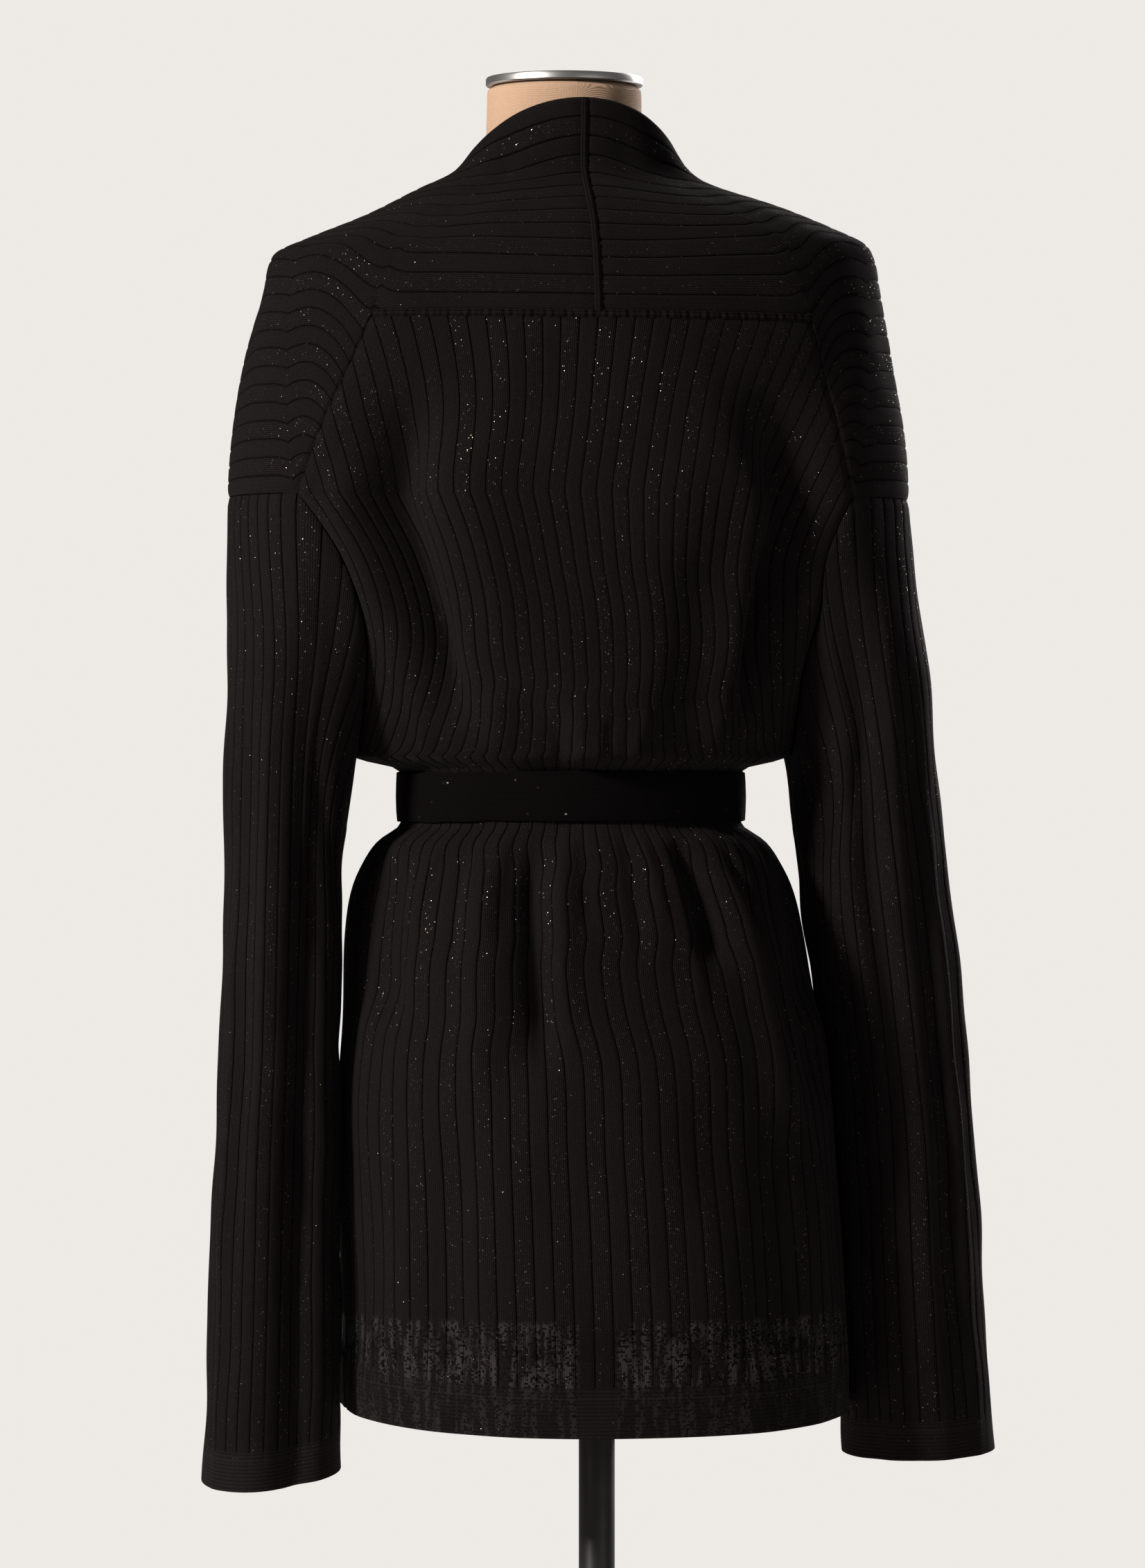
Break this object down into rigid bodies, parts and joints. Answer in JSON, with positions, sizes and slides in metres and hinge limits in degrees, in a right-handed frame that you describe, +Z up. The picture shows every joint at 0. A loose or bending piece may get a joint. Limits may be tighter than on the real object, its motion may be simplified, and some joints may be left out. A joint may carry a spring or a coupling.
{
  "type": "cardigan on a dress form",
  "caption": "Belted rib-knit cardigan with standing collar, yoke, wide sleeves and open V front, worn on a limbless dress form with a pole stand.",
  "frame": {"origin": "middle of the stand base's underside, on the pole's axis", "axes": "+Z up along the pole, -Y towards the garment's front, +X towards the wearer's left"},
  "size_m": [0.5418, 0.38, 1.5383],
  "materials": {
    "knit": "near-black rib knit of matte bands and bands with fine metallic thread",
    "belt_knit": "near-black flat rib knit",
    "linen": "natural linen over a smooth bust",
    "steel": "satin steel",
    "black_steel": "black painted steel"
  },
  "bodies": {
    "root": {"back_panel": "knit", "front_left": "knit", "front_right": "knit", "sleeve_left": "knit", "sleeve_right": "knit", "belt": "belt_knit", "belt_knot": "belt_knit", "belt_end_left": "belt_knit", "belt_end_right": "belt_knit", "form_torso": "linen", "neck_cap": "steel", "pole": "black_steel", "base": "black_steel"}
  },
  "joints": []
}
